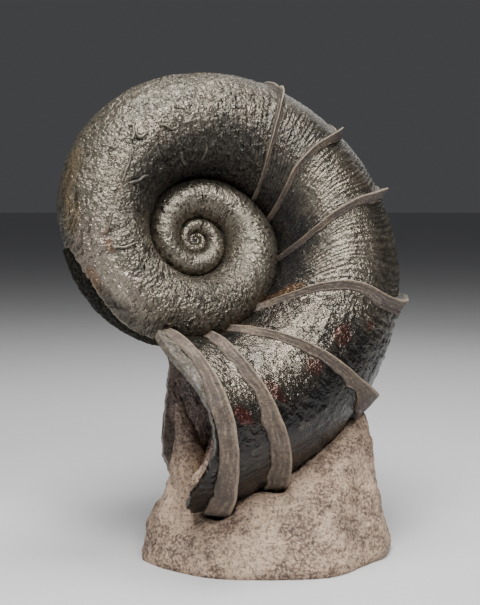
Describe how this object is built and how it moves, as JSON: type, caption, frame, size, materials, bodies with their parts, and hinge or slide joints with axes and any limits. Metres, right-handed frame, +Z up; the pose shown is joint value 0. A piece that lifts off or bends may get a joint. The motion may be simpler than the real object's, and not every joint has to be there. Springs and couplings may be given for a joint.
{
  "type": "fossil ammonite on matrix stone",
  "caption": "Coiled fossil ammonite shell of the Lytoceras kind with flared collars and an open mouth, standing on a flat-cut pale matrix stone.",
  "frame": {"origin": "middle of the object's footprint, on the flat-cut underside of the stone", "axes": "+Z up, -Y towards the viewer who sees the coil's open flank, +X to that viewer's right"},
  "size_m": [0.2478, 0.1988, 0.3315],
  "materials": {
    "fossil_shell": "dark olive and bronze fossil shell with a satin sheen, beige worn collars",
    "pale_limestone": "matt granular pinkish-beige limestone"
  },
  "bodies": {
    "root": {"ammonite_shell": "fossil_shell", "matrix_stone": "pale_limestone"}
  },
  "joints": []
}
